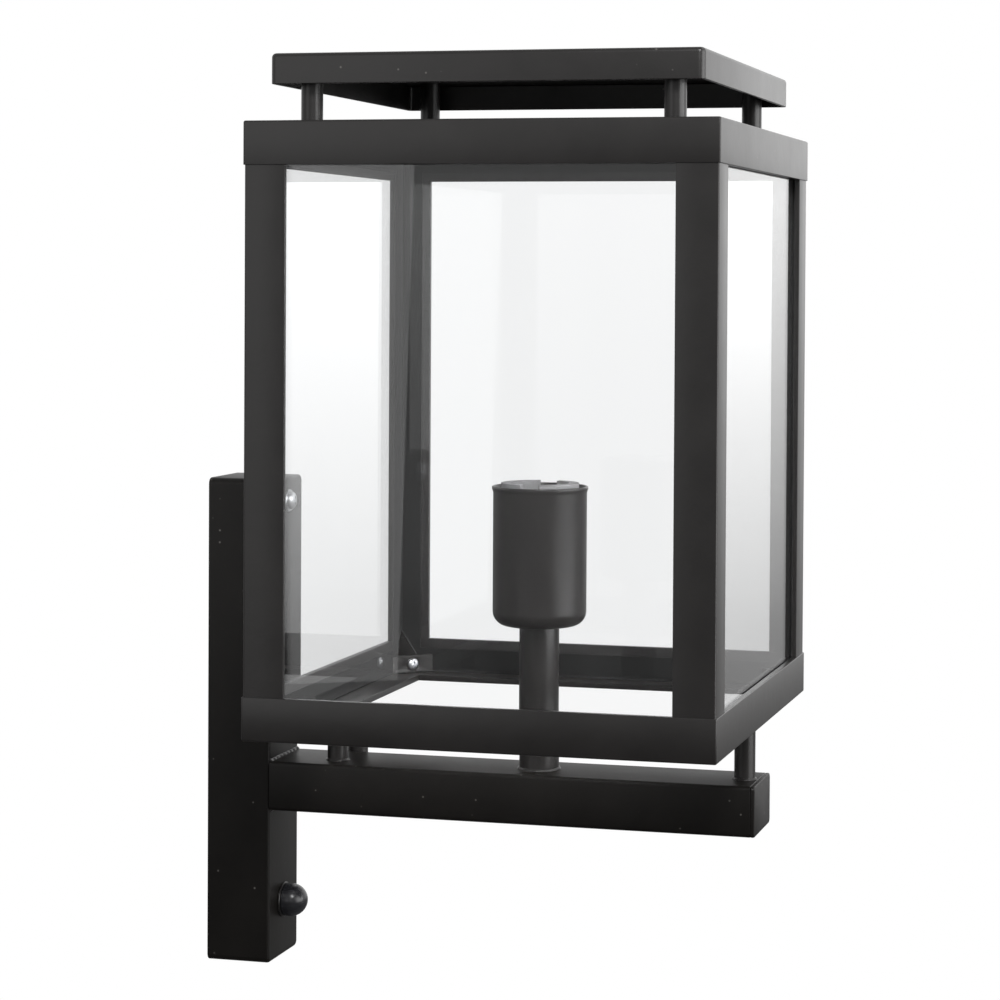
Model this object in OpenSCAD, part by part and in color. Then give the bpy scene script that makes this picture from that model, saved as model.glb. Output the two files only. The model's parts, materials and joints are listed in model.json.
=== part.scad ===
// Outdoor wall lantern: a glazed angle-iron box standing on an arm welded to a wall post.
// The wall is the plane X = 0, +X points out from it and +Z is up. The origin is the
// middle of the two wall fixing holes.

/* [Lantern box] */
// Width and depth of the square box, outside the frame
box_w = 220; // [190:1:260]
// Height of the box, outside the frame
box_h = 281; // [240:1:340]
// Gap between the post and the box
box_gap = 21; // [14:1:40]
// Height of the box's underside above the origin
box_z = 6.5; // [4:0.5:12]
// Leg length of the frame's angle
angle_leg = 20; // [16:1:25]
// Thickness of the frame's angle
angle_t = 3; // [2:0.5:3]
// Thickness of the glass
glass_t = 3; // [2.5:0.5:4]

/* [Roof] */
// How far the roof cap stands in from each side of the box
roof_inset = 9.3; // [4:0.1:16]
// Clear gap between the box and the roof cap's edge
roof_gap = 17; // [12:1:30]
// Height of the roof cap's folded edge
roof_h = 14; // [10:1:20]
// Diameter of the roof's four round pins
roof_pin_d = 10; // [6:1:12]
// Inset of the roof pins along X
roof_pin_x = 25; // [24:0.5:40]
// Inset of the roof pins along Y
roof_pin_y = 22; // [20:0.5:40]

/* [Wall post and arm] */
// Width of the post and of the arm
post_w = 40; // [36:1:50]
// Depth of the post, out from the wall
post_d = 32; // [28:1:40]
// Height of the post
post_h = 237; // [230:1:260]
// Height of the arm's tube
arm_h = 24; // [22:1:30]
// Gap between the arm and the box
rest_h = 25.8; // [20:0.2:35]
// Diameter of the pins that the box rests on
rest_pin_d = 10; // [8:1:12]

/* [Wall fixing] */
// Distance between the two wall fixing holes
fixing_pitch = 140; // [120:5:150]
// Diameter of the wall fixing holes
fixing_d = 5.5; // [4.5:0.5:6.5]
// Height of the cover screw above the origin
screw_z = 106.8; // [95:0.2:108]
// Height of the cap nut below the origin
nut_z = 91; // [88:0.5:95]
// Diameter of the cap nut
nut_d = 16; // [13:0.5:18]

/* [Lampholder] */
// Diameter of the lampholder's sleeve
cup_d = 45.2; // [42:0.2:50]
// Height of the lampholder's sleeve
cup_h = 67.2; // [60:0.2:80]
// Height of the sleeve's underside above the box's underside
cup_z = 43.5; // [30:0.5:60]
// Diameter of the tube that carries the lampholder
stem_d = 19.2; // [16:0.2:22]
// Inside radius of the screw shell
shell_r = 13.2; // [13.1:0.1:13.5]

/* [Hidden] */
$fn = 64;
eps = 0.01;
cut = 1;

// Colours
coat = [0.13, 0.13, 0.135];
zinc = [0.72, 0.73, 0.74];
brass = [0.75, 0.6, 0.3];
glass = [0.8, 0.88, 0.9, 0.35];
rubber = [0.08, 0.08, 0.08];
ceramic = [0.3, 0.3, 0.31];
plastic = [0.85, 0.85, 0.82];

// The box's own corner: the wall side, near side and underside meet there
box_x = post_d + box_gap;
box_y = -box_w / 2;
box_mid_x = box_x + box_w / 2;
box_top = box_z + box_h;

// Angle frame
upright_back = 0.6;
mitre = angle_leg - angle_t;
vent_d = 8;
vent_count = 12;
vent_ring = 90;

// Glazing
tape_t = 0.5;
tape_w = 12;
pane_edge = 0.2;
pane_clip_w = 15.5;
pane_clip_h = 24;
pane_in = angle_t + tape_t;
pane_face = pane_in + glass_t;
pane_z = box_z + angle_t;
pane_h = box_h - 2 * angle_t - 0.5;

// Corner clamps: a strip across each lower corner, whose ends press on two panes
clamp_reach = 16.6;
clamp_t = 1.5;
clamp_h = 9;
clamp_edge = pane_face + 0.1;
clamp_sum = 2 * clamp_edge + clamp_reach;
clamp_z = box_z + angle_t + 0.2;
clamp_screw_z = clamp_z + 4.4;
clamp_screw_r = 1.95;
clamp_head_r = 3.2;
clamp_head_h = 2.2;
clamp_screw_tip = angle_t * sqrt(2) + clamp_screw_r + 0.3;
anchor_sum = 14;
anchor_h = 7.2;

// Roof cap
roof_t = 1.5;
roof_w = box_w - 2 * roof_inset;
roof_z = box_top + roof_gap;
roof_r = 1.5;

// Post, arm and wall plate
sheet = 2;
post_r = 3;
plate_t = 2;
plate_clear = 0.3;
arm_top = box_z - rest_h;
arm_z = arm_top - arm_h;
arm_mid_z = arm_top - arm_h / 2;
arm_len = box_x + box_w - 0.5 - post_d - sheet;
arm_r = 1.5;
wire_hole_w = 16;
wire_hole_h = 10;
rest_inset = 9;
rest_inner_y = -5;
rest_rear_lap = 14;

// Wall fixing hardware
m5_r = 2.5;
m5_clear = 0.05;
hole_clear_r = 2.75;
stud_end = 8.5;
washer_gap = 0.15;
washer_t = 1;
nut_washer_r = 8.5;
nut_r = nut_d / 2;
nut_skirt = 3.1;
nut_bore = 9;
screw_washer_r = 5.5;
screw_head_r = 4.3;
screw_head_h = 2.8;
screw_len = 18;
spacer_r = 5;
nut_base = post_d + washer_t + 2 * washer_gap;
recess_w = 1.1;
recess_l = 4.6;
recess_deep = 1.4;

// Cable entry and terminals
entry_z = 52;
grommet_r = 7;
grommet_bore = 4;
grommet_lip = 2.5;
block_x = plate_t;
block_l = 30;
block_w = 18;
block_h = 14;
block_z = 14;
terminal_hole = 4;
terminal_r = 2.4;
terminal_pitch = 10;
earth_z = -30;

// Lampholder
cup_floor = box_z + cup_z;
cup_t = 1.2;
cup_r = cup_d / 2;
cup_bend = 7;
cup_lip = 0.6;
cup_top = cup_floor + cup_h;
stem_r = stem_d / 2;
stem_t = 1.5;
bush_h = 14;
nipple_r = 5;
nipple_bore = 3.6;
nipple_up = 20;
nipple_down = 12;
nipple_nut_r = 8;
nipple_nut_h = 3;
body_r = 18.8;
body_z = cup_floor + 14;
body_top = cup_top + 1.5;
body_floor = 8;
shell_t = 0.8;
shell_low = 2;
shell_len = 33;
rim_notch_w = 9.5;
rim_notch_h = 4.5;

// Inner lead: its route is in the plane Y = 0, given as X and Z
lead_d = 5.6;
lead_sides = 8;
lead_route = [[9, 14], [9, 6], [9, -3], [9.4, -11], [11.5, -19], [16, -26], [23, -30.4],
    [31, -32], [40, -33.6], [52, -36], [66, -37.8], [82, -38.4], [98, -38.4],
    [114, -38.4], [130, -38], [141, -36.4], [150, -33], [156.6, -27.6], [160.8, -20.5],
    [162.6, -12.5], [163, -3], [163, 9], [163, 21], [163, 33], [163, 45], [163, 57],
    [163, 63]];

// ---- Shared shapes ----

// A rectangle with round corners, its low corner at the origin
module round_rect(w, h, r) {
    translate([r, 0]) square([w - 2 * r, h]);
    translate([0, r]) square([w, h - 2 * r]);
    for (x = [r, w - r], y = [r, h - r]) translate([x, y]) circle(r, $fn = 32);
}

// An extrusion along +X from x: the outline's X is the model's Y and its Y is the model's Z
module along_x(x, length) {
    translate([x, 0, 0]) rotate([90, 0, 90]) linear_extrude(length) children();
}

// A cylinder along +X
module rod_x(x, y, z, r, length) {
    translate([x, y, z]) rotate([0, 90, 0]) cylinder(h = length, r = r);
}

// A tube standing on z
module tube_z(x, y, z, r_out, r_in, h) {
    translate([x, y, z]) difference() {
        cylinder(h = h, r = r_out);
        translate([0, 0, -cut]) cylinder(h = h + 2 * cut, r = r_in);
    }
}

// Puts a shape drawn for the box's wall-near corner into one of the four corners
module box_corner(outer, far) {
    translate([box_mid_x, 0, 0]) mirror([outer, 0, 0]) mirror([0, far, 0])
        translate([-box_w / 2, -box_w / 2, 0]) children();
}

// Puts a shape drawn for the near side onto side 0 near, 1 outer, 2 far or 3 wall
module box_side(side) {
    translate([box_mid_x, 0, 0]) rotate([0, 0, 90 * side])
        translate([-box_w / 2, -box_w / 2, 0]) children();
}

// ---- Angle frame ----

// One mitred length of angle along the near side. The flat leg lies at z_flat.
module rail(z_leg, z_flat) {
    translate([0, 0, z_leg]) linear_extrude(angle_leg)
        polygon([[0, 0], [box_w, 0], [box_w - angle_t, angle_t], [angle_t, angle_t]]);
    translate([0, 0, z_flat]) linear_extrude(angle_t)
        polygon([[0, 0], [box_w, 0], [box_w - angle_leg, angle_leg],
            [angle_leg, angle_leg]]);
}

module bottom_rail(side) {
    color(coat) box_side(side) rail(box_z, box_z);
}

module top_rail(side) {
    color(coat) box_side(side) rail(box_top - angle_leg, box_top - angle_t);
}

// An upright stands a little in from the rails, which shows the joint
module upright(outer, far) {
    reach = angle_leg - upright_back;
    wall = angle_t - upright_back;
    color(coat) box_corner(outer, far)
        translate([upright_back, upright_back, box_z + angle_leg])
            linear_extrude(box_h - 2 * angle_leg) union() {
                square([reach, wall]);
                square([wall, reach]);
            }
}

module top_plate() {
    side = box_w - 2 * angle_leg;
    color(coat) translate([box_mid_x, 0, box_top - angle_t]) difference() {
        translate([-side / 2, -side / 2, 0]) cube([side, side, angle_t]);
        for (i = [0 : vent_count - 1])
            rotate([0, 0, (i + 0.5) * 360 / vent_count]) translate([vent_ring / 2, 0, -cut])
                cylinder(h = angle_t + 2 * cut, d = vent_d);
    }
}

// ---- Roof ----

module roof_pin(outer, far) {
    color(coat) box_corner(outer, far) translate([roof_pin_x, roof_pin_y, box_top])
        cylinder(h = roof_gap + roof_h - roof_t, d = roof_pin_d);
}

module roof_cap() {
    inner = roof_w - 2 * roof_t;
    color(coat) translate([box_mid_x - roof_w / 2, -roof_w / 2, roof_z]) difference() {
        linear_extrude(roof_h) round_rect(roof_w, roof_w, roof_r + roof_t);
        translate([roof_t, roof_t, -cut]) linear_extrude(roof_h - roof_t + cut)
            round_rect(inner, inner, roof_r);
    }
}

// ---- Glazing ----

// The near and far panes run the full width, and the other two fit between them
function pane_end(side) = ((side % 2 == 0) ? pane_in : pane_face) + pane_edge;

// A pane's outline: its two lower corners are cut off to clear the clamp's block
module pane_outline(span) {
    polygon([[pane_clip_w, 0], [span - pane_clip_w, 0], [span, pane_clip_h],
        [span, pane_h], [0, pane_h], [0, pane_clip_h]]);
}

module pane(side) {
    end = pane_end(side);
    color(glass) box_side(side) translate([end, pane_face, pane_z]) rotate([90, 0, 0])
        linear_extrude(glass_t) pane_outline(box_w - 2 * end);
}

// A flat ring of black tape between the frame and the pane's edges
module glazing_tape(side) {
    end = pane_end(side);
    span = box_w - 2 * end;
    color(rubber) box_side(side) translate([end, pane_in, pane_z]) rotate([90, 0, 0])
        linear_extrude(tape_t) difference() {
            pane_outline(span);
            translate([tape_w, tape_w]) square([span - 2 * tape_w, pane_h - 2 * tape_w]);
        }
}

module pane_clamp(outer, far) {
    reach = clamp_edge + clamp_reach;
    back = reach - clamp_t * sqrt(2);
    color(coat) box_corner(outer, far) translate([0, 0, clamp_z]) difference() {
        linear_extrude(clamp_h) polygon([[reach, clamp_edge], [clamp_edge, reach],
            [clamp_edge, back], [back, clamp_edge]]);
        translate([0, 0, clamp_screw_z - clamp_z]) rotate([0, 0, 45]) rotate([0, 90, 0])
            cylinder(h = 2 * reach, r = clamp_screw_r + m5_clear);
    }
}

// A small tapped block in each corner of the frame, for the clamp's screw
module clamp_anchors() {
    color(coat) for (outer = [0, 1], far = [0, 1]) box_corner(outer, far)
        translate([0, 0, box_z + angle_t]) difference() {
            linear_extrude(anchor_h) polygon([[angle_t, angle_t],
                [anchor_sum - angle_t, angle_t], [angle_t, anchor_sum - angle_t]]);
            translate([0, 0, clamp_screw_z - box_z - angle_t]) rotate([0, 0, 45])
                rotate([0, 90, 0]) translate([0, 0, clamp_screw_tip - 2 * m5_clear])
                    cylinder(h = anchor_sum, r = clamp_screw_r + m5_clear);
        }
}

module cross_recess(z) {
    for (a = [0, 90]) rotate([0, 0, a]) translate([-recess_w / 2, -recess_l / 2, z])
        cube([recess_w, recess_l, recess_deep + cut]);
}

// A domed head on +Z, its seat at z = 0
module pan_head(r, h) {
    dome = (r * r + h * h) / (2 * h);
    intersection() {
        cylinder(h = h, r = r);
        translate([0, 0, h - dome]) sphere(dome, $fn = 48);
    }
}

module clamp_screws() {
    seat = clamp_sum / sqrt(2);
    color(zinc) for (outer = [0, 1], far = [0, 1]) box_corner(outer, far)
        translate([0, 0, clamp_screw_z]) rotate([0, 0, 45]) rotate([0, 90, 0])
            difference() {
                union() {
                    translate([0, 0, seat]) pan_head(clamp_head_r, clamp_head_h);
                    translate([0, 0, clamp_screw_tip])
                        cylinder(h = seat - clamp_screw_tip + eps, r = clamp_screw_r);
                }
                translate([0, 0, seat + clamp_head_h - recess_deep]) scale(0.7)
                    cross_recess(0);
            }
}

// ---- Wall plate, post and arm ----

module wall_plate() {
    w = post_w - 2 * sheet - 2 * plate_clear;
    h = post_h - 2 * sheet - 2 * plate_clear;
    color(zinc) difference() {
        along_x(0, plate_t) translate([-w / 2, -h / 2]) round_rect(w, h, 2);
        for (z = [-1, 1]) rod_x(-cut, 0, z * fixing_pitch / 2, fixing_d / 2, plate_t + 2 * cut);
        rod_x(-cut, 0, entry_z, grommet_r - 1, plate_t + 2 * cut);
    }
}

// The cover: a tray open towards the wall
module wall_post() {
    color(coat) difference() {
        along_x(0, post_d) translate([-post_w / 2, -post_h / 2])
            round_rect(post_w, post_h, post_r);
        along_x(-cut, post_d - sheet + cut) translate([sheet - post_w / 2, sheet - post_h / 2])
            round_rect(post_w - 2 * sheet, post_h - 2 * sheet, post_r - sheet);
        rod_x(post_d - sheet - cut, 0, screw_z, hole_clear_r, sheet + 2 * cut);
        rod_x(post_d - sheet - cut, 0, -nut_z, hole_clear_r, sheet + 2 * cut);
        translate([post_d - sheet - cut, -wire_hole_w / 2, arm_mid_z - wire_hole_h / 2])
            cube([sheet + 2 * cut, wire_hole_w, wire_hole_h]);
    }
}

module arm_tube() {
    color(coat) difference() {
        along_x(post_d, arm_len) translate([-post_w / 2, arm_z])
            round_rect(post_w, arm_h, arm_r);
        along_x(post_d - cut, arm_len + 2 * cut)
            translate([sheet - post_w / 2, arm_z + sheet])
                square([post_w - 2 * sheet, arm_h - 2 * sheet]);
        translate([box_mid_x, 0, arm_top - sheet - cut])
            cylinder(h = sheet + 2 * cut, r = stem_r - stem_t);
    }
}

module arm_end_cap() {
    color(coat) along_x(post_d + arm_len, sheet) translate([-post_w / 2, arm_z])
        round_rect(post_w, arm_h, arm_r);
}

module rest_pin(x, y, low) {
    color(coat) translate([x, y, low]) cylinder(h = box_z - low, d = rest_pin_d);
}

module rest_pin_inner() {
    rest_pin(box_x + rest_inset, rest_inner_y, arm_top);
}

// This one is welded to the arm's far face
module rest_pin_rear() {
    rest_pin(box_x + rest_inset, (post_w + rest_pin_d) / 2, arm_top - rest_rear_lap);
}

module rest_pin_outer() {
    rest_pin(box_x + box_w - rest_inset, 0, arm_top);
}

// ---- Fixing hardware ----

module screw_spacer() {
    color(zinc) difference() {
        rod_x(plate_t, 0, screw_z, spacer_r, post_d - sheet - plate_t);
        rod_x(post_d - sheet - screw_len, 0, screw_z, m5_r + m5_clear, screw_len + cut);
    }
}

module cover_stud() {
    color(zinc) rod_x(plate_t, 0, -nut_z, m5_r, nut_base + stud_end - plate_t);
}

module washer_x(z, r) {
    color(zinc) difference() {
        rod_x(post_d + washer_gap, 0, z, r, washer_t);
        rod_x(post_d - cut, 0, z, m5_r + 2 * m5_clear, washer_t + 2 * cut);
    }
}

module cap_nut_washer() {
    color(coat) washer_x(-nut_z, nut_washer_r);
}

module cap_nut() {
    color(coat) difference() {
        union() {
            rod_x(nut_base, 0, -nut_z, nut_r, nut_skirt);
            intersection() {
                translate([nut_base + nut_skirt, 0, -nut_z]) sphere(nut_r);
                rod_x(nut_base + nut_skirt - eps, 0, -nut_z, nut_r, nut_r);
            }
        }
        rod_x(nut_base - cut, 0, -nut_z, m5_r + m5_clear, nut_bore + cut);
    }
}

module cover_screw_washer() {
    washer_x(screw_z, screw_washer_r);
}

module cover_screw() {
    shank = nut_base - (post_d - sheet) + screw_len - 2;
    color(zinc) translate([nut_base, 0, screw_z]) rotate([0, 90, 0]) difference() {
        union() {
            pan_head(screw_head_r, screw_head_h);
            translate([0, 0, -shank]) cylinder(h = shank + eps, r = m5_r);
        }
        translate([0, 0, screw_head_h - recess_deep]) cross_recess(0);
    }
}

// ---- Cable entry and terminals ----

module cable_grommet() {
    color(rubber) difference() {
        union() {
            rod_x(0, 0, entry_z, grommet_r - 1, plate_t + 1);
            rod_x(plate_t, 0, entry_z, grommet_r + 1, grommet_lip);
        }
        rod_x(-cut, 0, entry_z, grommet_bore, plate_t + grommet_lip + 2 * cut);
    }
}

module terminal_block() {
    color(plastic) translate([block_x, -block_l / 2, block_z]) difference() {
        cube([block_h, block_l, block_w]);
        for (i = [-1 : 1]) translate([0, block_l / 2 + i * terminal_pitch, 0]) {
            translate([block_h - terminal_hole, 0, block_w / 2]) rotate([0, 90, 0])
                cylinder(h = terminal_hole + cut, r = terminal_r);
            translate([block_h / 2, 0, -cut]) cylinder(h = terminal_hole + cut, r = 2);
            translate([block_h / 2, 0, block_w - terminal_hole])
                cylinder(h = terminal_hole + cut, r = 2);
        }
    }
}

module terminal_screws() {
    color(brass) for (i = [-1 : 1])
        translate([block_x + block_h - terminal_hole, i * terminal_pitch,
            block_z + block_w / 2]) rotate([0, 90, 0]) difference() {
                cylinder(h = 3, r = terminal_r - m5_clear);
                translate([-3, -0.4, 2]) cube([6, 0.8, 2]);
            }
}

module earth_screw() {
    color(brass) translate([plate_t, 0, earth_z]) rotate([0, 90, 0]) difference() {
        union() {
            cylinder(h = 1, r = 4.5);
            translate([0, 0, 1 - eps]) pan_head(3.6, 2.4);
        }
        translate([0, 0, 3.4 - recess_deep]) scale(0.8) cross_recess(0);
    }
}

// ---- Lampholder ----

module stem_tube() {
    color(coat) tube_z(box_mid_x, 0, arm_top, stem_r, stem_r - stem_t, cup_floor - arm_top);
}

module stem_bush() {
    color(brass) tube_z(box_mid_x, 0, cup_floor - bush_h, stem_r - stem_t - m5_clear,
        nipple_r + m5_clear, bush_h);
}

module socket_nipple() {
    color(zinc) tube_z(box_mid_x, 0, cup_floor - nipple_down, nipple_r, nipple_bore,
        nipple_down + nipple_up);
}

module nipple_nut() {
    color(zinc) translate([box_mid_x, 0, cup_floor + cup_t]) difference() {
        cylinder(h = nipple_nut_h, r = nipple_nut_r, $fn = 6);
        translate([0, 0, -cut])
            cylinder(h = nipple_nut_h + 2 * cut, r = nipple_r + m5_clear);
    }
}

// Points of a quarter circle of radius r about [x, z], from angle a to b
function arc(x, z, r, a, b, n = 6) =
    [for (i = [0 : n]) let (t = a + (b - a) * i / n) [x + r * cos(t), z + r * sin(t)]];

module lampholder_cup() {
    inner = cup_r - cup_t;
    outline = concat([[nipple_r + m5_clear, 0]], arc(cup_r - cup_bend, cup_bend, cup_bend, -90, 0),
        [[cup_r, cup_h - 3], [cup_r + cup_lip, cup_h - 1.2], [cup_r + cup_lip, cup_h],
        [inner + cup_lip, cup_h], [inner, cup_h - 3]],
        arc(cup_r - cup_bend, cup_bend, cup_bend - cup_t, 0, -90), [[nipple_r + m5_clear, cup_t]]);
    color(coat) translate([box_mid_x, 0, cup_floor]) rotate_extrude() polygon(outline);
}

module socket_body() {
    bore = shell_r + shell_t + m5_clear;
    h = body_top - body_z;
    color(ceramic) translate([box_mid_x, 0, body_z]) difference() {
        cylinder(h = h, r = body_r);
        translate([0, 0, body_floor]) cylinder(h = h, r = bore);
        translate([0, 0, -cut]) cylinder(h = body_floor + 2 * cut, r = nipple_r + m5_clear);
        for (a = [0, 180]) rotate([0, 0, a])
            translate([-rim_notch_w / 2, bore - 2, h - rim_notch_h])
                cube([rim_notch_w, body_r, rim_notch_h + cut]);
    }
}

module socket_shell() {
    color(brass) tube_z(box_mid_x, 0, body_z + body_floor + shell_low, shell_r + shell_t,
        shell_r, shell_len);
}

module socket_contact() {
    color(brass) tube_z(box_mid_x, 0, body_z + body_floor, 7, nipple_bore, 1.2);
}

module socket_terminals() {
    color(brass) for (y = [-1, 1]) translate([box_mid_x, y * 10, body_z - 3])
        cylinder(h = 3, r = 2.4);
}

// ---- Inner lead ----

// Direction of the route at point i, as X and Z
function route_step(i) =
    let (a = lead_route[max(i - 1, 0)], b = lead_route[min(i + 1, len(lead_route) - 1)],
        d = b - a) d / norm(d);

// Ring k of the lead: a circle across the route, whose second axis is Y
function lead_ring(k) =
    let (p = lead_route[k], d = route_step(k))
    [for (j = [0 : lead_sides - 1]) let (t = 360 * j / lead_sides,
        u = lead_d / 2 * cos(t), v = lead_d / 2 * sin(t))
        [p[0] - d[1] * u, v, p[1] + d[0] * u]];

module inner_lead() {
    n = len(lead_route);
    s = lead_sides;
    points = [for (k = [0 : n - 1]) each lead_ring(k)];
    walls = [for (k = [0 : n - 2], j = [0 : s - 1])
        [k * s + j, k * s + (j + 1) % s, (k + 1) * s + (j + 1) % s, (k + 1) * s + j]];
    start = [for (j = [s - 1 : -1 : 0]) j];
    finish = [for (j = [0 : s - 1]) (n - 1) * s + j];
    color(rubber) polyhedron(points = points, faces = concat(walls, [start, finish]));
}

// ---- Nodes ----

wall_plate();
wall_post();
arm_tube();
arm_end_cap();
rest_pin_inner();
rest_pin_rear();
rest_pin_outer();
bottom_rail(0);  // bottom_rail_near
bottom_rail(1);  // bottom_rail_outer
bottom_rail(2);  // bottom_rail_far
bottom_rail(3);  // bottom_rail_wall
upright(0, 0);  // upright_wall_near
upright(0, 1);  // upright_wall_far
upright(1, 0);  // upright_outer_near
upright(1, 1);  // upright_outer_far
top_rail(0);  // top_rail_near
top_rail(1);  // top_rail_outer
top_rail(2);  // top_rail_far
top_rail(3);  // top_rail_wall
top_plate();
roof_pin(0, 0);  // roof_pin_wall_near
roof_pin(0, 1);  // roof_pin_wall_far
roof_pin(1, 0);  // roof_pin_outer_near
roof_pin(1, 1);  // roof_pin_outer_far
roof_cap();
pane(0);  // pane_near
pane(1);  // pane_outer
pane(2);  // pane_far
pane(3);  // pane_wall
glazing_tape(0);  // glazing_tape_near
glazing_tape(1);  // glazing_tape_outer
glazing_tape(2);  // glazing_tape_far
glazing_tape(3);  // glazing_tape_wall
pane_clamp(0, 0);  // pane_clamp_wall_near
pane_clamp(0, 1);  // pane_clamp_wall_far
pane_clamp(1, 0);  // pane_clamp_outer_near
pane_clamp(1, 1);  // pane_clamp_outer_far
clamp_anchors();
clamp_screws();
stem_tube();
stem_bush();
socket_nipple();
nipple_nut();
lampholder_cup();
socket_body();
socket_shell();
socket_contact();
socket_terminals();
cable_grommet();
terminal_block();
terminal_screws();
earth_screw();
screw_spacer();
cover_stud();
cap_nut_washer();
cap_nut();
cover_screw_washer();
cover_screw();
inner_lead();
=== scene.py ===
"""Looks of the outdoor wall lantern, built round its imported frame. Everything is in metres."""
import json
import math
import random

import bmesh
import bpy
from mathutils import Matrix, Vector


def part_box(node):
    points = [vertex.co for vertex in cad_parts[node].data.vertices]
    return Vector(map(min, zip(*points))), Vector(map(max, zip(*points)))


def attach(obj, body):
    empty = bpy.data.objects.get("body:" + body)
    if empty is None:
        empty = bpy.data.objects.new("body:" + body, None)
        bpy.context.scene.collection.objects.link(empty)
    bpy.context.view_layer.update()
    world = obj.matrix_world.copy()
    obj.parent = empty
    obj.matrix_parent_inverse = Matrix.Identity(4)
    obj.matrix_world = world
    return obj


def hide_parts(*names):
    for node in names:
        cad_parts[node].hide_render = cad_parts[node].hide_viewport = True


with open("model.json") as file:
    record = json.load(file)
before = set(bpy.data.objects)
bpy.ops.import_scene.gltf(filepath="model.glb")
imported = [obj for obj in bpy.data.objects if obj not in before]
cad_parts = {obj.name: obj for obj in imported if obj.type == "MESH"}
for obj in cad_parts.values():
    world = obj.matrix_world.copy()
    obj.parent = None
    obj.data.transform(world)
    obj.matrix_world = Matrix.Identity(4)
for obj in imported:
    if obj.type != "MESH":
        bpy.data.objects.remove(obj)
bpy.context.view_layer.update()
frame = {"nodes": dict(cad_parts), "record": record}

MM = 0.001
ROOT = "lantern"
SIDES = ("near", "outer", "far", "wall")
CORNERS = (("wall_near", 0, 0), ("outer_near", 1, 0), ("wall_far", 0, 1), ("outer_far", 1, 1))


# ---- Camera ----

CAMERA_PLACE = (0.509, -1.25385, 0.21745)
CAMERA_YAW = math.radians(14.208)
CAMERA_PITCH = math.radians(-1.095)
CAMERA_ROLL = math.radians(0.353)
LENS = 97.294
SENSOR = 36
SHIFT_X = -0.09914
SHIFT_Y = -0.17049


def make_camera():
    """The camera stands in front of the lantern's outer corner and looks back to the left."""
    look = Vector((
        -math.sin(CAMERA_YAW) * math.cos(CAMERA_PITCH),
        math.cos(CAMERA_YAW) * math.cos(CAMERA_PITCH),
        math.sin(CAMERA_PITCH),
    ))
    right = look.cross(Vector((0, 0, 1))).normalized()
    up = right.cross(look)
    side = math.cos(CAMERA_ROLL) * right + math.sin(CAMERA_ROLL) * up
    top = -math.sin(CAMERA_ROLL) * right + math.cos(CAMERA_ROLL) * up
    data = bpy.data.cameras.new("camera")
    data.lens = LENS
    data.sensor_width = SENSOR
    data.shift_x = SHIFT_X
    data.shift_y = SHIFT_Y
    data.clip_end = 100
    camera = bpy.data.objects.new("camera", data)
    turn = Matrix((side, top, -look)).transposed().to_4x4()
    camera.matrix_world = Matrix.Translation(CAMERA_PLACE) @ turn
    bpy.context.scene.collection.objects.link(camera)
    bpy.context.scene.camera = camera


# ---- Node helpers ----

def new_material(name):
    material = bpy.data.materials.new(name)
    material.use_nodes = True
    return material, material.node_tree, material.node_tree.nodes["Principled BSDF"]


def add_node(tree, kind, **values):
    """A new node. Values that name an input set it, and the others are the node's own settings."""
    node = tree.nodes.new(kind)
    for name, value in values.items():
        socket = name.replace("_", " ")
        if socket in node.inputs:
            node.inputs[socket].default_value = value
        else:
            setattr(node, name, value)
    return node


def object_noise(tree, scale, detail=3.0, rough=0.55, stretch=(1, 1, 1)):
    """Noise in the piece's own place, in lumps of about 1/scale metres."""
    place = add_node(tree, "ShaderNodeTexCoord")
    mapping = add_node(tree, "ShaderNodeMapping")
    mapping.inputs["Scale"].default_value = stretch
    tree.links.new(place.outputs["Object"], mapping.inputs["Vector"])
    noise = add_node(tree, "ShaderNodeTexNoise", Scale=scale, Detail=detail, Roughness=rough)
    tree.links.new(mapping.outputs["Vector"], noise.inputs["Vector"])
    return noise


def ramp(tree, source, stops):
    """A colour ramp on a value, with stops of (place, grey or colour)."""
    node = add_node(tree, "ShaderNodeValToRGB")
    elements = node.color_ramp.elements
    while len(elements) < len(stops):
        elements.new(0.5)
    for element, (place, colour) in zip(elements, stops):
        element.position = place
        grey = isinstance(colour, (int, float))
        element.color = (colour, colour, colour, 1) if grey else (*colour, 1)
    tree.links.new(source, node.inputs["Fac"])
    return node


def map_range(tree, source, low, high):
    """A value from 0 to 1 spread over low to high."""
    node = add_node(tree, "ShaderNodeMapRange")
    node.inputs["To Min"].default_value = low
    node.inputs["To Max"].default_value = high
    tree.links.new(source, node.inputs["Value"])
    return node.outputs["Result"]


def map_range_from(tree, source, low, high):
    """A value from low to high brought to 0 to 1."""
    node = add_node(tree, "ShaderNodeMapRange")
    node.inputs["From Min"].default_value = low
    node.inputs["From Max"].default_value = high
    tree.links.new(source, node.inputs["Value"])
    return node.outputs["Result"]


def add_bump(tree, shader, height, strength, distance, below=None):
    """Adds relief to a shader. below is the relief that it lies on."""
    bump = add_node(tree, "ShaderNodeBump", Strength=strength, Distance=distance)
    tree.links.new(height, bump.inputs["Height"])
    if below is not None:
        tree.links.new(below, bump.inputs["Normal"])
    tree.links.new(bump.outputs["Normal"], shader.inputs["Normal"])
    return bump.outputs["Normal"]


# ---- Materials ----

COAT_COLOUR = (0.0115, 0.0105, 0.0102)
SPECK_COLOUR = (0.1, 0.095, 0.09)
SPECKS_PER_METRE = 160
MOTTLE_PER_METRE = 38
WAVES_PER_METRE = 150
PEBBLES_PER_METRE = 900


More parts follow.
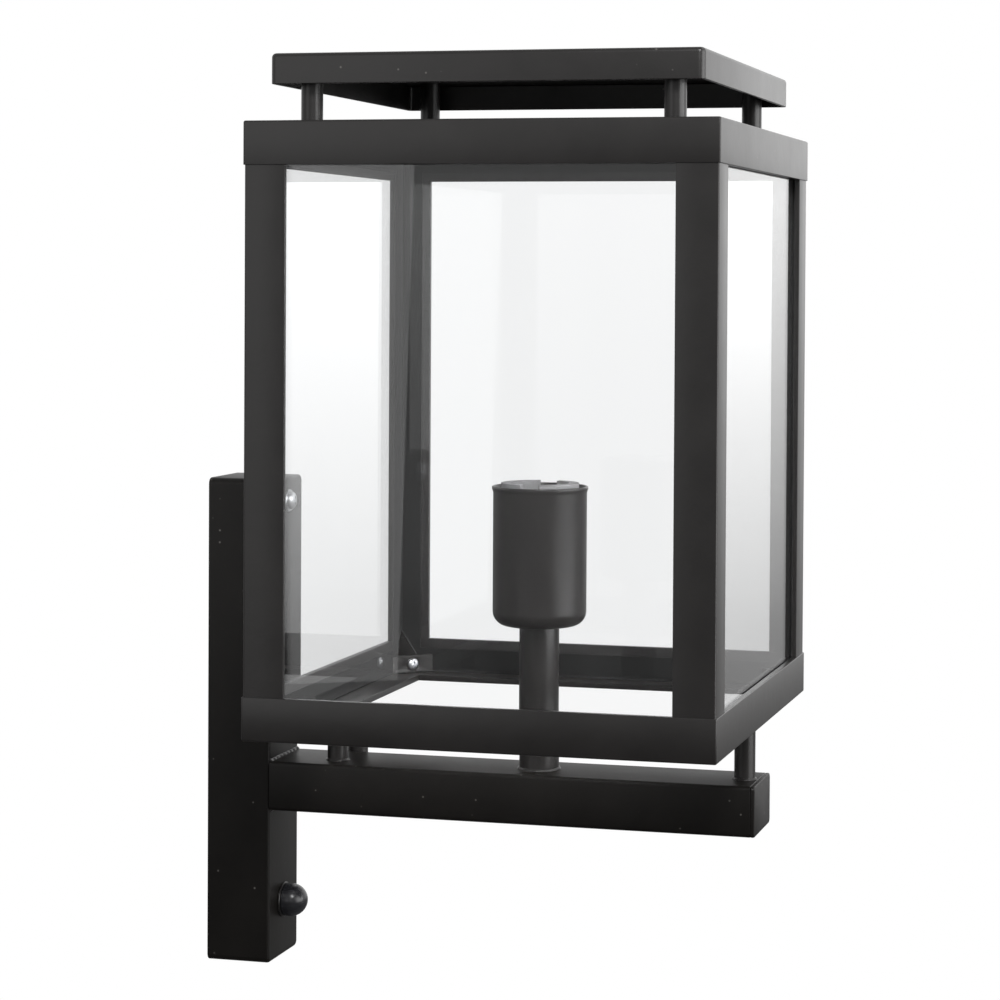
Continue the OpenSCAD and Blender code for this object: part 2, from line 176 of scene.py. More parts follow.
def powder_coat(name, base=COAT_COLOUR, rough=(0.26, 0.34), gloss=0.45):
    """Black satin powder coat: a pebbled skin, faint mottling and sparse specks of dust."""
    material, tree, shader = new_material(name)
    mottle = object_noise(tree, MOTTLE_PER_METRE, detail=4)
    tint = ramp(tree, mottle.outputs["Fac"], ((0.3, [c * 0.85 for c in base]),
                                              (0.7, [c * 1.2 for c in base])))
    place = add_node(tree, "ShaderNodeTexCoord")
    dust = add_node(tree, "ShaderNodeTexVoronoi", Scale=SPECKS_PER_METRE)
    dust.inputs["Randomness"].default_value = 1
    tree.links.new(place.outputs["Object"], dust.inputs["Vector"])
    speck = ramp(tree, dust.outputs["Distance"], ((0.05, 1.0), (0.1, 0.0)))
    sparse = ramp(tree, dust.outputs["Color"], ((0.72, 0.0), (0.8, 1.0)))
    spots = add_node(tree, "ShaderNodeMath", operation="MULTIPLY")
    tree.links.new(speck.outputs["Color"], spots.inputs[0])
    tree.links.new(sparse.outputs["Color"], spots.inputs[1])
    mix = add_node(tree, "ShaderNodeMix", data_type="RGBA")
    tree.links.new(spots.outputs["Value"], mix.inputs["Factor"])
    tree.links.new(tint.outputs["Color"], mix.inputs["A"])
    mix.inputs["B"].default_value = (*SPECK_COLOUR, 1)
    tree.links.new(mix.outputs["Result"], shader.inputs["Base Color"])
    tree.links.new(map_range(tree, mottle.outputs["Fac"], *rough), shader.inputs["Roughness"])
    shader.inputs["Specular IOR Level"].default_value = gloss
    waves = object_noise(tree, WAVES_PER_METRE, detail=2)
    pebbles = object_noise(tree, PEBBLES_PER_METRE, detail=2)
    first = add_bump(tree, shader, waves.outputs["Fac"], 0.12, 0.4 * MM)
    add_bump(tree, shader, pebbles.outputs["Fac"], 0.22, 0.1 * MM, below=first)
    return material


def clear_glass(name):
    """Clear float glass that lets the lamps' light through to the inside."""
    material, tree, shader = new_material(name)
    shader.inputs["Base Color"].default_value = (0.994, 0.998, 1, 1)
    shader.inputs["Transmission Weight"].default_value = 1
    shader.inputs["IOR"].default_value = 1.5
    smear = object_noise(tree, 14, detail=5)
    tree.links.new(map_range(tree, smear.outputs["Fac"], 0.0, 0.008), shader.inputs["Roughness"])
    path = add_node(tree, "ShaderNodeLightPath")
    clear = add_node(tree, "ShaderNodeBsdfTransparent")
    mix = add_node(tree, "ShaderNodeMixShader")
    tree.links.new(path.outputs["Is Shadow Ray"], mix.inputs["Fac"])
    tree.links.new(shader.outputs["BSDF"], mix.inputs[1])
    tree.links.new(clear.outputs["BSDF"], mix.inputs[2])
    tree.links.new(mix.outputs["Shader"], tree.nodes["Material Output"].inputs["Surface"])
    return material


def metal(name, colour, rough, grain=(1, 1, 1), scale=260, depth=0.00006):
    """Plated or drawn metal with a fine grain and slightly uneven gloss."""
    material, tree, shader = new_material(name)
    shader.inputs["Metallic"].default_value = 1
    stain = object_noise(tree, 60, detail=4)
    tint = ramp(tree, stain.outputs["Fac"], ((0.3, [c * 0.88 for c in colour]), (0.7, colour)))
    tree.links.new(tint.outputs["Color"], shader.inputs["Base Color"])
    tree.links.new(map_range(tree, stain.outputs["Fac"], *rough), shader.inputs["Roughness"])
    lines = object_noise(tree, scale, detail=2, stretch=grain)
    add_bump(tree, shader, lines.outputs["Fac"], 0.25, depth)
    return material


def plastic(name, colour, rough, scale=420, depth=0.00008):
    """Moulded plastic or rubber with a fine erosion texture."""
    material, tree, shader = new_material(name)
    cloud = object_noise(tree, 45, detail=3)
    tint = ramp(tree, cloud.outputs["Fac"], ((0.3, [c * 0.9 for c in colour]),
                                             (0.7, [min(1, c * 1.08) for c in colour])))
    tree.links.new(tint.outputs["Color"], shader.inputs["Base Color"])
    tree.links.new(map_range(tree, cloud.outputs["Fac"], *rough), shader.inputs["Roughness"])
    skin = object_noise(tree, scale, detail=2)
    add_bump(tree, shader, skin.outputs["Fac"], 0.3, depth)
    return material


MATERIALS = {
    "powder_coat": powder_coat("powder_coat"),
    # post_coat is the box's black coat made darker and duller: painted shade for the post and arm,
    # which sit back in the box's shadow.
    "post_coat": powder_coat("post_coat", base=(0.0052, 0.0046, 0.0041), rough=(0.34, 0.42),
                              gloss=0.2),
    "weld": powder_coat("weld", rough=(0.3, 0.4)),
    "nut_coat": powder_coat("nut_coat", base=(0.014, 0.014, 0.016), rough=(0.24, 0.3)),
    "zinc_steel": metal("zinc_steel", (0.66, 0.67, 0.69), (0.22, 0.36)),
    "brass": metal("brass", (0.74, 0.56, 0.28), (0.26, 0.42)),
    "clear_glass": clear_glass("clear_glass"),
    "black_rubber": plastic("black_rubber", (0.018, 0.018, 0.018), (0.6, 0.75)),
    "socket_plastic": plastic("socket_plastic", (0.18, 0.18, 0.185), (0.45, 0.6)),
    "block_plastic": plastic("block_plastic", (0.75, 0.74, 0.7), (0.3, 0.4)),
}


# ---- Mesh helpers ----

def smooth_by_angle(mesh, degrees=32):
    mesh.polygons.foreach_set("use_smooth", [True] * len(mesh.polygons))
    mesh.set_sharp_from_angle(angle=math.radians(degrees))


def add_piece(name, mesh_builder, material, body=ROOT, replaces=None):
    """Makes an object of a bmesh, with its material, its body and the CAD node that it stands for."""
    mesh = bpy.data.meshes.new(name)
    bmesh.ops.recalc_face_normals(mesh_builder, faces=mesh_builder.faces)
    mesh_builder.to_mesh(mesh)
    mesh_builder.free()
    smooth_by_angle(mesh)
    mesh.materials.append(MATERIALS[material])
    piece = bpy.data.objects.new(name, mesh)
    bpy.context.scene.collection.objects.link(piece)
    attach(piece, body)
    if replaces:
        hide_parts(replaces)
    return piece


def arc(centre, radius, start, end, steps=5):
    """Points of an arc in a plane, angles in degrees."""
    points = []
    for i in range(steps + 1):
        angle = math.radians(start + (end - start) * i / steps)
        points.append((centre[0] + radius * math.cos(angle), centre[1] + radius * math.sin(angle)))
    return points


def rounded(outline, radii, steps=4):
    """An outline with each corner rounded by its own radius, for corners of any angle."""
    points = []
    count = len(outline)
    for i, radius in enumerate(radii):
        here = Vector(outline[i])
        back = Vector(outline[i - 1]) - here
        on = Vector(outline[(i + 1) % count]) - here
        if radius <= 0:
            points.append(tuple(here))
            continue
        half = back.angle(on) / 2
        reach = radius / math.tan(half)
        first = here + back.normalized() * reach
        last = here + on.normalized() * reach
        inward = (back.normalized() + on.normalized()).normalized()
        centre = here + inward * (radius / math.sin(half))
        start = first - centre
        sweep = -start.angle_signed(last - centre)
        for k in range(steps + 1):
            spoke = start.copy()
            spoke.rotate(Matrix.Rotation(sweep * k / steps, 2))
            points.append(tuple(centre + spoke))
    return points


def bridge(builder, loops, closed_ring=False, caps=True):
    """Faces between loops of equal length, one after another, and flat caps on the two ends."""
    made = [[builder.verts.new(p) for p in loop] for loop in loops]
    count = len(made[0])
    pairs = list(zip(made, made[1:]))
    if closed_ring:
        pairs.append((made[-1], made[0]))
    for low, high in pairs:
        for i in range(count):
            j = (i + 1) % count
            builder.faces.new((low[i], low[j], high[j], high[i]))
    if caps and not closed_ring:
        builder.faces.new(list(reversed(made[0])))
        builder.faces.new(made[-1])


def turned(profile, centre, axis="Z", steps=64, closed=False, builder=None):
    """A turned solid. The profile is (radius, height) pairs, and a radius of 0 closes an end."""
    builder = builder or bmesh.new()
    to_axis = {
        "Z": lambda x, y, h: Vector((x, y, h)),
        "X": lambda x, y, h: Vector((h, x, y)),
    }[axis]
    rings = []
    for radius, height in profile:
        if radius < 1e-7:
            rings.append([builder.verts.new(centre + to_axis(0, 0, height))])
            continue
        ring = []
        for i in range(steps):
            angle = 2 * math.pi * i / steps
            ring.append(builder.verts.new(
                centre + to_axis(radius * math.cos(angle), radius * math.sin(angle), height)))
        rings.append(ring)
    pairs = list(zip(rings, rings[1:]))
    if closed:
        pairs.append((rings[-1], rings[0]))
    for low, high in pairs:
        for i in range(steps):
            j = (i + 1) % steps
            if len(low) == 1 and len(high) == 1:
                continue
            if len(low) == 1:
                builder.faces.new((low[0], high[i], high[j]))
            elif len(high) == 1:
                builder.faces.new((low[i], low[j], high[0]))
            else:
                builder.faces.new((low[i], low[j], high[j], high[i]))
    return builder


def softened(node, width, segments=2, sharp=35):
    """A copy of a CAD node's mesh with its flat faces merged and its sharp edges rounded."""
    builder = bmesh.new()
    builder.from_mesh(frame["nodes"][node].data)
    bmesh.ops.remove_doubles(builder, verts=builder.verts, dist=0.00001)
    bmesh.ops.dissolve_limit(builder, angle_limit=math.radians(1), verts=builder.verts,
                             edges=builder.edges)
    edges = [e for e in builder.edges
             if len(e.link_faces) == 2 and e.calc_face_angle(0) > math.radians(sharp)]
    bmesh.ops.bevel(builder, geom=edges, offset=width, segments=segments, profile=0.5,
                    affect="EDGES", clamp_overlap=True)
    return builder


def weld_bead(name, points, normals, size, closed=False, seed=1):
    """A rippled weld bead along points. The normals point out of the corner that it fills."""
    noise = random.Random(seed)
    builder = bmesh.new()
    loops = []
    count = len(points)
    around = 10
    ripple = 0.0
    for k, (point, normal) in enumerate(zip(points, normals)):
        before = points[k - 1] if k or closed else points[0]
        after = points[(k + 1) % count] if k < count - 1 or closed else points[-1]
        along = (after - before).normalized()
        side = along.cross(normal).normalized()
        ripple += 0.9
        swell = 1 + 0.1 * math.sin(ripple) + noise.uniform(-0.05, 0.05)
        loops.append([
            point + size * swell * (math.cos(t) * normal * 0.85 + math.sin(t) * side)
            for t in (2 * math.pi * i / around for i in range(around))])
    bridge(builder, loops, closed_ring=closed)
    return add_piece(name, builder, "weld")


def foot_bead(name, centre, radius, size, up=1, seed=1, steps=44):
    """The weld round the foot of a pin or tube. up is 1 on a surface below and -1 below one above."""
    points = []
    normals = []
    for i in range(steps):
        angle = 2 * math.pi * i / steps
        out = Vector((math.cos(angle), math.sin(angle), 0))
        points.append(centre + out * radius)
        normals.append((out + Vector((0, 0, up))).normalized())
    return weld_bead(name, points, normals, size, closed=True, seed=seed)


# ---- Angle frame ----

bottom_low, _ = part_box("bottom_rail_near")
_, top_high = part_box("top_rail_near")
BOX_LOW_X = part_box("bottom_rail_wall")[0].x
BOX_HIGH_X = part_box("bottom_rail_outer")[1].x
BOX_MID = Vector(((BOX_LOW_X + BOX_HIGH_X) / 2, 0, 0))
BOX_W = BOX_HIGH_X - BOX_LOW_X
BOX_Z = bottom_low.z
BOX_TOP = top_high.z
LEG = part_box("bottom_rail_near")[1].z - BOX_Z
WALL = 3 * MM
CORNER_R = 0.9 * MM
TIP_R = 0.25 * MM
PANE_ARRIS = 0.4 * MM


def on_side(point, side):
    """A point drawn for the near side, moved to side 0 near, 1 outer, 2 far or 3 wall."""
    local = Vector(point) - Vector((BOX_W / 2, BOX_W / 2, 0))
    local.rotate(Matrix.Rotation(side * math.pi / 2, 3, "Z"))
    return BOX_MID + local


def at_corner(point, outer, far):
    """A point drawn from the box's wall-near corner, moved to one of the four corners."""
    x = point[0] if not outer else BOX_W - point[0]
    y = point[1] if not far else BOX_W - point[1]
    return BOX_MID + Vector((x - BOX_W / 2, y - BOX_W / 2, point[2]))


def make_rail(name, side, flat_low):
    """A mitred length of angle. Its outer corner is rounded half by each of the two rails there."""
    outline = [(0, 0), (LEG, 0), (LEG, WALL), (WALL, WALL), (WALL, LEG), (0, LEG)]
    profile = rounded(outline, [CORNER_R, TIP_R, TIP_R, 0, TIP_R, TIP_R])
    if not flat_low:
        profile = [(d, LEG - h) for d, h in profile]
    base = BOX_Z if flat_low else BOX_TOP - LEG
    steps = 4
    loops = []
    for end in (0, 1):
        for k in (range(steps + 1) if end == 0 else range(steps, -1, -1)):
            share = k / steps
            angle = math.radians(225 + 45 * share)
            loop = []
            for depth, height in profile:
                if depth < CORNER_R:
                    x = CORNER_R + (CORNER_R - depth) * math.cos(angle) + depth * share
                    y = CORNER_R + (CORNER_R - depth) * math.sin(angle)
                else:
                    x = depth + CORNER_R * share
                    y = depth
                x = x if end == 0 else BOX_W - x
                loop.append(on_side((x, y, base + height), side))
            loops.append(loop)
    builder = bmesh.new()
    bridge(builder, loops)
    return add_piece(name + "_steel", builder, "powder_coat", replaces=name)


def make_frame():
    for side, word in enumerate(SIDES):
        make_rail("bottom_rail_" + word, side, True)
        make_rail("top_rail_" + word, side, False)
    for word, outer, far in CORNERS:
        node = "upright_" + word
        low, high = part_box(node)
        back = BOX_W / 2 - max(abs(low.x - BOX_MID.x), abs(high.x - BOX_MID.x))
        outline = [(back, back), (LEG, back), (LEG, WALL), (WALL, WALL), (WALL, LEG), (back, LEG)]
        profile = rounded(outline, [CORNER_R, TIP_R, TIP_R, 0, TIP_R, TIP_R])
        loops = [[at_corner((x, y, z), outer, far) for x, y in profile] for z in (low.z, high.z)]
        builder = bmesh.new()
        bridge(builder, loops)
        add_piece(node + "_steel", builder, "powder_coat", replaces=node)


# ---- Folded sheet: roof cap and post ----

def rounded_rectangle(half_a, half_b, radius, steps=5):
    points = []
    for sign_a, sign_b, start in ((1, 1, 0), (-1, 1, 90), (-1, -1, 180), (1, -1, 270)):
        centre = (sign_a * (half_a - radius), sign_b * (half_b - radius))
        points += arc(centre, radius, start, start + 90, steps)
    return points


def make_tray(name, material, centre, half_a, half_b, height, sheet, corner, bend, place):
    """A folded tray, drawn with its rim at height 0 and its closed face at the top.

    place turns (a, b, height) into the object's frame.
    """
    arris = 0.25 * MM
    turns = [math.radians(15 * k) for k in range(7)]
    outer = [(arris, 0), (0, arris)]
    outer += [(bend - bend * math.cos(t), height - bend + bend * math.sin(t)) for t in turns]
    fold = max(bend - sheet, 0.3 * MM)
    roof = height - sheet
    inner = [(sheet - arris, 0), (sheet, arris)]
    inner += [(sheet + fold - fold * math.cos(t), roof - fold + fold * math.sin(t)) for t in turns]
    loops = []
    for inset, level in list(reversed(outer)) + inner:
        radius = max(corner - inset, 0.4 * MM)
        ring = rounded_rectangle(half_a - inset, half_b - inset, radius)
        loops.append([centre + place(a, b, level) for a, b in ring])
    builder = bmesh.new()
    bridge(builder, loops)
    return add_piece(name + "_sheet", builder, material, replaces=name)


def make_roof():
    low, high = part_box("roof_cap")
    centre = Vector(((low.x + high.x) / 2, 0, low.z))
    half_x = (high.x - low.x) / 2
    half_y = (high.y - low.y) / 2
    make_tray("roof_cap", "powder_coat", centre, half_x, half_y, high.z - low.z,
              sheet=1.5 * MM, corner=3 * MM, bend=2 * MM,
              place=lambda a, b, h: Vector((a, b, h)))
    for seed, (word, _, _) in enumerate(CORNERS):
        node = "roof_pin_" + word
        low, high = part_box(node)
        radius = (high.x - low.x) / 2
        centre = Vector(((low.x + high.x) / 2, (low.y + high.y) / 2, low.z))
        height = high.z - low.z
        builder = turned([(0, 0), (radius, 0), (radius, height), (0, height)], centre)
        add_piece(node + "_rod", builder, "powder_coat", replaces=node)
        foot_bead(node + "_weld", centre, radius, 0.8 * MM, seed=seed)


def make_post():
    low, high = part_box("wall_post")
    middle = Vector((0, (low.y + high.y) / 2, (low.z + high.z) / 2))
    half_y = (high.y - low.y) / 2
    half_z = (high.z - low.z) / 2
    make_tray("wall_post", "post_coat", middle, half_y, half_z, high.x - low.x,
              sheet=2 * MM, corner=3 * MM, bend=1.6 * MM,
              place=lambda a, b, h: Vector((h, a, b)))


# ---- Arm and pins ----

def make_arm():
    low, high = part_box("arm_tube")
    cap_low, cap_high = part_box("arm_end_cap")
    half_y = (high.y - low.y) / 2
    half_z = (high.z - low.z) / 2
    middle = Vector((0, 0, (low.z + high.z) / 2))
    sheet = 2 * MM
    corner = 1.8 * MM
    seam = 0.25 * MM
    rings = []
    for x, inset in ((low.x, 0), (high.x - seam, 0), (high.x, seam)):
        ring = rounded_rectangle(half_y - inset, half_z - inset, corner)
        rings.append([middle + Vector((x, a, b)) for a, b in ring])
    for x in (high.x, low.x):
        ring = rounded_rectangle(half_y - sheet, half_z - sheet, 0.5 * MM)
        rings.append([middle + Vector((x, a, b)) for a, b in ring])
    builder = bmesh.new()
    bridge(builder, rings, closed_ring=True)
    add_piece("arm_tube_steel", builder, "post_coat", replaces="arm_tube")
    edge = 0.6 * MM
    rings = []
    for x, inset in ((cap_low.x, seam), (cap_low.x + seam, 0), (cap_high.x - edge, 0),
                     (cap_high.x - edge * 0.3, edge * 0.3), (cap_high.x, edge)):
        ring = rounded_rectangle(half_y - inset, half_z - inset, corner)
        rings.append([middle + Vector((x, a, b)) for a, b in ring])
    builder = bmesh.new()
    bridge(builder, rings)
    add_piece("arm_end_cap_steel", builder, "post_coat", replaces="arm_end_cap")


def make_arm_welds():
    """Beads above and below the arm, where it meets the post."""
    low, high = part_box("arm_tube")
    middle = Vector((0, 0, (low.z + high.z) / 2))
    half_y = (high.y - low.y) / 2
    half_z = (high.z - low.z) / 2
    for height, word in ((half_z, "top"), (-half_z, "bottom")):
        count = 60
        points = [middle + Vector((low.x, half_y * 0.94 * (2 * i / (count - 1) - 1), height))
                  for i in range(count)]
        normal = Vector((1, 0, 1 if height > 0 else -1)).normalized()
        weld_bead("arm_weld_" + word, points, [normal] * count, 1.3 * MM, seed=7)


def make_rest_pins():
    for seed, word in enumerate(("inner", "rear", "outer")):
        node = "rest_pin_" + word
        low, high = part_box(node)
        radius = (high.x - low.x) / 2
        centre = Vector(((low.x + high.x) / 2, (low.y + high.y) / 2, low.z))
        height = high.z - low.z
        edge = 0.4 * MM
        profile = [(0, 0), (radius - edge, 0), (radius, edge), (radius, height), (0, height)]
        builder = turned(profile, centre)
        add_piece(node + "_rod", builder, "powder_coat", replaces=node)
        if word != "rear":
            foot_bead(node + "_weld", centre, radius, 1.0 * MM, seed=20 + seed)
        head = centre + Vector((0, 0, height))
        foot_bead(node + "_head_weld", head, radius, 0.8 * MM, up=-1, seed=30 + seed)
    low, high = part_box("rest_pin_rear")
    _, arm_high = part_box("arm_tube")
    for seed, sign in ((41, -1), (42, 1)):
        count = 24
        x = (low.x + high.x) / 2 + sign * 2.6 * MM
        points = [Vector((x, arm_high.y + 0.5 * MM, low.z + (arm_high.z - low.z) * i / (count - 1)))
                  for i in range(count)]
        normal = Vector((sign, 0.7, 0)).normalized()
        weld_bead("rest_pin_rear_weld_%d" % seed, points, [normal] * count, 1.1 * MM, seed=seed)


# ---- Lampholder ----

def make_stem():
    low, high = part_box("stem_tube")
    radius = (high.x - low.x) / 2
    centre = Vector((BOX_MID.x, 0, low.z))
    height = high.z - low.z
    inner = radius - 1.5 * MM
    profile = [(inner, 0), (radius, 0), (radius, height - 0.3 * MM), (radius - 0.3 * MM, height),
               (inner, height)]
    builder = turned(profile, centre, closed=True)
    add_piece("stem_tube_steel", builder, "powder_coat", replaces="stem_tube")
    foot_bead("stem_weld", centre, radius, 1.1 * MM, seed=50, steps=72)


def make_cup():
    """The drawn steel sleeve: a rounded foot, straight sides and a small rolled lip."""
    low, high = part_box("lampholder_cup")
    centre = Vector((BOX_MID.x, 0, low.z))
    height = high.z - low.z
    lip = (high.x - low.x) / 2
    radius = lip - 0.6 * MM
    sheet = 1.2 * MM
    foot = 7 * MM
    hole = 5.05 * MM
    profile = [(hole, 0)]
    profile += arc((radius - foot, foot), foot, -90, 0, 10)
    profile += [(radius, height - 3.2 * MM), (radius + 0.25 * MM, height - 2.2 * MM),
                (lip, height - 1.3 * MM)]
    profile += arc((lip - 0.6 * MM, height - 0.6 * MM), 0.6 * MM, 0, 180, 6)
    profile += [(radius - sheet, height - 3 * MM)]
    profile += arc((radius - foot, foot), foot - sheet, 0, -90, 8)
    profile += [(hole, sheet)]
    builder = turned(profile, centre, steps=96, closed=True)
    add_piece("lampholder_cup_steel", builder, "powder_coat",
              replaces="lampholder_cup")


# ---- Fasteners ----

def make_screw(builder, seat, axis, head_r, head_h, shank_r, shank):
    """A pan head screw with a tapered cross recess. axis points out of the head."""
    turn = axis.to_track_quat("Z", "Y").to_matrix()
    part = bmesh.new()
    edge = 0.35 * head_h
    profile = [(0, -shank), (shank_r - 0.2 * MM, -shank), (shank_r, -shank + 0.3 * MM),
               (shank_r, 0), (head_r, 0), (head_r, edge)]
    for k in range(1, 7):
        angle = math.radians(15 * k)
        radius = head_r * math.cos(angle) if k < 6 else 0
        profile.append((radius, edge + (head_h - edge) * math.sin(angle)))
    turned(profile, Vector(), steps=32, builder=part)
    cutter = bmesh.new()
    wide = 0.16 * head_r
    long = 0.62 * head_r
    deep = 0.75 * head_h
    for quarter in (0, 1):
        loops = []
        for level, share in ((head_h * 1.3, 1.1), (head_h - deep, 0.45)):
            end = long * share
            ring = [(-end, -wide), (end, -wide), (end, wide), (-end, wide)]
            if quarter:
                ring = [(-y, x) for x, y in ring]
            loops.append([Vector((x, y, level)) for x, y in ring])
        bridge(cutter, loops)
    head = mesh_object("screw_head", part)
    tool = mesh_object("screw_tool", cutter)
    cut_with(head, tool)
    made = bmesh.new()
    made.from_mesh(head.data)
    bmesh.ops.transform(made, matrix=Matrix.Translation(seat) @ turn.to_4x4(), verts=made.verts)
    copied = bpy.data.meshes.new("screw_part")
    made.to_mesh(copied)
    made.free()
    builder.from_mesh(copied)
    bpy.data.meshes.remove(copied)
    for thing in (head, tool):
        data = thing.data
        bpy.data.objects.remove(thing)
        bpy.data.meshes.remove(data)


def mesh_object(name, builder):
    mesh = bpy.data.meshes.new(name)
    bmesh.ops.recalc_face_normals(builder, faces=builder.faces)
    builder.to_mesh(mesh)
    builder.free()
    thing = bpy.data.objects.new(name, mesh)
    bpy.context.scene.collection.objects.link(thing)
    return thing


def cut_with(thing, tool):
    """Cuts tool's solids out of thing's mesh."""
    modifier = thing.modifiers.new("cut", "BOOLEAN")
    modifier.operation = "DIFFERENCE"
    modifier.solver = "EXACT"
    modifier.use_self = True
    modifier.object = tool
    graph = bpy.context.evaluated_depsgraph_get()
    result = bpy.data.meshes.new_from_object(thing.evaluated_get(graph))
    old = thing.data
    thing.modifiers.clear()
    thing.data = result
    bpy.data.meshes.remove(old)


def make_panes():
    """The glass, with the small flat that is ground along every cut edge."""
    for word in SIDES:
        node = "pane_" + word
        add_piece(node + "_glass", softened(node, PANE_ARRIS, segments=1), "clear_glass",
                  replaces=node)


def make_clamps():
    for word, _, _ in CORNERS:
        node = "pane_clamp_" + word
        add_piece(node + "_sheet", softened(node, 0.25 * MM), "powder_coat",
                  replaces=node)
    low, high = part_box("pane_clamp_wall_near")
    edge = low.x - BOX_LOW_X
    reach = high.x - BOX_LOW_X
    seat = (edge + reach) / 2
    screw_low, screw_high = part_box("clamp_screws")
    head_r = (screw_high.z - screw_low.z) / 2
    level = (screw_low.z + screw_high.z) / 2
    builder = bmesh.new()
    for _, outer, far in CORNERS:
        place = at_corner((seat, seat, level), outer, far)
        axis = Vector((1 - 2 * outer, 1 - 2 * far, 0)).normalized()
        make_screw(builder, place, axis, head_r, 2.2 * MM, 1.95 * MM, 15 * MM)
    add_piece("clamp_screws_zinc", builder, "zinc_steel", replaces="clamp_screws")


def make_cover_screw():
    low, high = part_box("cover_screw")
    head_r = (high.y - low.y) / 2
    head_h = 2.8 * MM
    centre = Vector((high.x - head_h, 0, (low.z + high.z) / 2))
    builder = bmesh.new()
    make_screw(builder, centre, Vector((1, 0, 0)), head_r, head_h, 2.5 * MM, centre.x - low.x)
    add_piece("cover_screw_zinc", builder, "zinc_steel", body="cover_screw",
              replaces="cover_screw")


def make_washer(node, material):
    low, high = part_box(node)
    outer = (high.y - low.y) / 2
    inner = 2.6 * MM
    edge = 0.25 * MM
    thick = high.x - low.x
    centre = Vector((low.x, 0, (low.z + high.z) / 2))
    profile = [(inner, 0), (outer - edge, 0), (outer, edge), (outer, thick - edge),
               (outer - edge, thick), (inner + edge, thick), (inner, thick - edge)]
    builder = turned(profile, centre, axis="X", closed=True)
    add_piece(node + "_disc", builder, material, body=node, replaces=node)


def make_cap_nut():
    low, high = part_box("cap_nut")
    radius = (high.y - low.y) / 2
    height = high.x - low.x
    skirt = height - radius
    bore = 2.55 * MM
    depth = 9 * MM
    centre = Vector((low.x, 0, (low.z + high.z) / 2))
    profile = [(0, depth + 1 * MM), (bore, depth), (bore, 0.5 * MM), (bore + 0.5 * MM, 0),
               (radius - 0.4 * MM, 0), (radius, 0.4 * MM), (radius, skirt)]
    profile += [(radius * math.cos(t), skirt + radius * math.sin(t))
                for t in (math.radians(7.5 * k) for k in range(1, 12))]
    profile += [(0, height)]
    builder = turned(profile, centre, axis="X", steps=72)
    add_piece("cap_nut_dome", builder, "nut_coat", body="cap_nut",
              replaces="cap_nut")


# ---- CAD pieces that keep their shape ----

def finish_cad_nodes():
    """Gives each CAD node that still shows the material of its slot."""
    slots = {row["node"]: row["material_slot"] for row in frame["record"]["subparts"]}
    for node, thing in frame["nodes"].items():
        thing.data.materials.clear()
        thing.data.materials.append(MATERIALS[slots[node]])


# ---- Light ----

# The studio's brightness, from in front to behind and from below to above
STUDIO = 1.5
BACK_STOPS = ((0.0, 0.4), (0.45, 0.42), (0.7, 0.9), (1.0, 1.0))
HEIGHT_STOPS = ((0.38, 0.1), (0.435, 0.27), (0.475, 0.6), (0.515, 1.0), (0.75, 0.9), (1.0, 0.6))
DIM_BACK_LEFT = 0.55


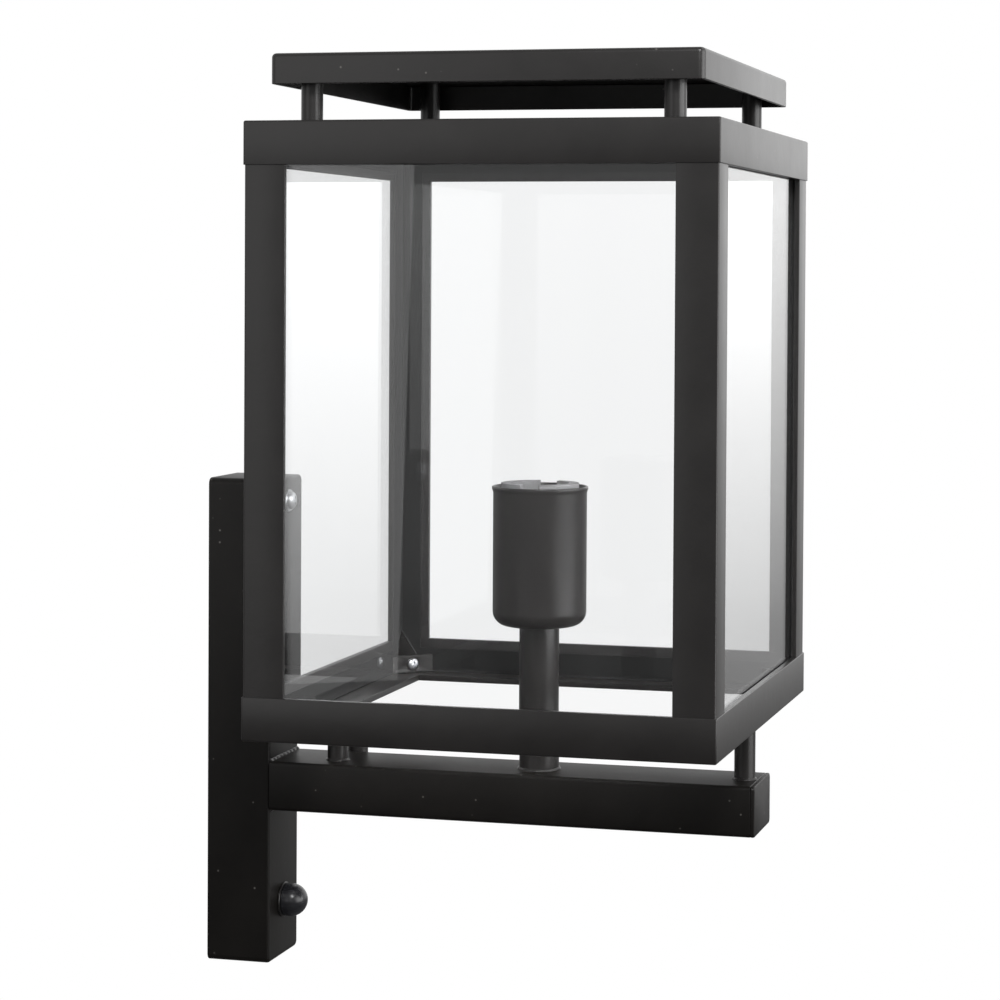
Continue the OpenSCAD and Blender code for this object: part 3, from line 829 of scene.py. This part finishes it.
def make_world():
    """White where it is looked at, straight or through glass.

    Every ray that has bounced off something gets a studio instead, bright above its horizon.
    """
    world = bpy.data.worlds.new("studio")
    bpy.context.scene.world = world
    world.use_nodes = True
    tree = world.node_tree
    tree.nodes.clear()
    place = add_node(tree, "ShaderNodeTexCoord")
    split = add_node(tree, "ShaderNodeSeparateXYZ")
    tree.links.new(place.outputs["Generated"], split.inputs["Vector"])
    back = ramp(tree, map_range_from(tree, split.outputs["Y"], -1, 1), BACK_STOPS)
    height = ramp(tree, map_range_from(tree, split.outputs["Z"], -1, 1), HEIGHT_STOPS)
    light = add_node(tree, "ShaderNodeMath", operation="MULTIPLY")
    tree.links.new(back.outputs["Color"], light.inputs[0])
    tree.links.new(height.outputs["Color"], light.inputs[1])
    behind = map_range_from(tree, split.outputs["Y"], 0, 0.5)
    left = map_range_from(tree, split.outputs["X"], 0, -0.2)
    corner = add_node(tree, "ShaderNodeMath", operation="MULTIPLY")
    tree.links.new(behind, corner.inputs[0])
    tree.links.new(left, corner.inputs[1])
    level = map_range(tree, corner.outputs["Value"], STUDIO, STUDIO * DIM_BACK_LEFT)
    scaled = add_node(tree, "ShaderNodeMath", operation="MULTIPLY")
    tree.links.new(light.outputs["Value"], scaled.inputs[0])
    tree.links.new(level, scaled.inputs[1])
    path = add_node(tree, "ShaderNodeLightPath")
    bounces = add_node(tree, "ShaderNodeMath", operation="ADD")
    tree.links.new(path.outputs["Diffuse Depth"], bounces.inputs[0])
    tree.links.new(path.outputs["Glossy Depth"], bounces.inputs[1])
    lit = add_node(tree, "ShaderNodeMath", operation="GREATER_THAN")
    tree.links.new(bounces.outputs["Value"], lit.inputs[0])
    lit.inputs[1].default_value = 0.5
    mix = add_node(tree, "ShaderNodeMix", data_type="FLOAT")
    tree.links.new(lit.outputs["Value"], mix.inputs["Factor"])
    tree.links.new(scaled.outputs["Value"], mix.inputs["B"])
    mix.inputs["A"].default_value = 1
    background = add_node(tree, "ShaderNodeBackground")
    background.inputs["Color"].default_value = (1, 1, 1, 1)
    tree.links.new(mix.outputs["Result"], background.inputs["Strength"])
    output = add_node(tree, "ShaderNodeOutputWorld")
    tree.links.new(background.outputs["Background"], output.inputs["Surface"])


def add_light(name, place, aim, size, power, size_y=None):
    data = bpy.data.lights.new(name, "AREA")
    data.energy = power
    data.size = size
    if size_y:
        data.shape = "RECTANGLE"
        data.size_y = size_y
    lamp = bpy.data.objects.new(name, data)
    bpy.context.scene.collection.objects.link(lamp)
    lamp.location = place
    lamp.rotation_euler = (Vector(aim) - Vector(place)).to_track_quat("-Z", "Y").to_euler()


def make_lights():
    middle = (0.16, 0, 0.12)
    add_light("key_right", (2.15, -0.3, 0.35), middle, 2.0, 34, size_y=1.4)
    add_light("box_left", (-1.1, -2.15, 0.45), middle, 1.1, 4, size_y=1.6)
    add_light("over_camera", (0.73, -1.46, 1.2), middle, 0.4, 22)
    add_light("top_right", (1.44, -0.05, 1.65), middle, 0.45, 6)


make_camera()
make_frame()
make_roof()
make_post()
make_arm()
make_arm_welds()
make_rest_pins()
make_stem()
make_cup()
make_panes()
make_clamps()
make_cover_screw()
make_washer("cap_nut_washer", "powder_coat")
make_washer("cover_screw_washer", "zinc_steel")
make_cap_nut()
finish_cad_nodes()
make_world()
make_lights()
bpy.context.scene.view_settings.view_transform = "Standard"
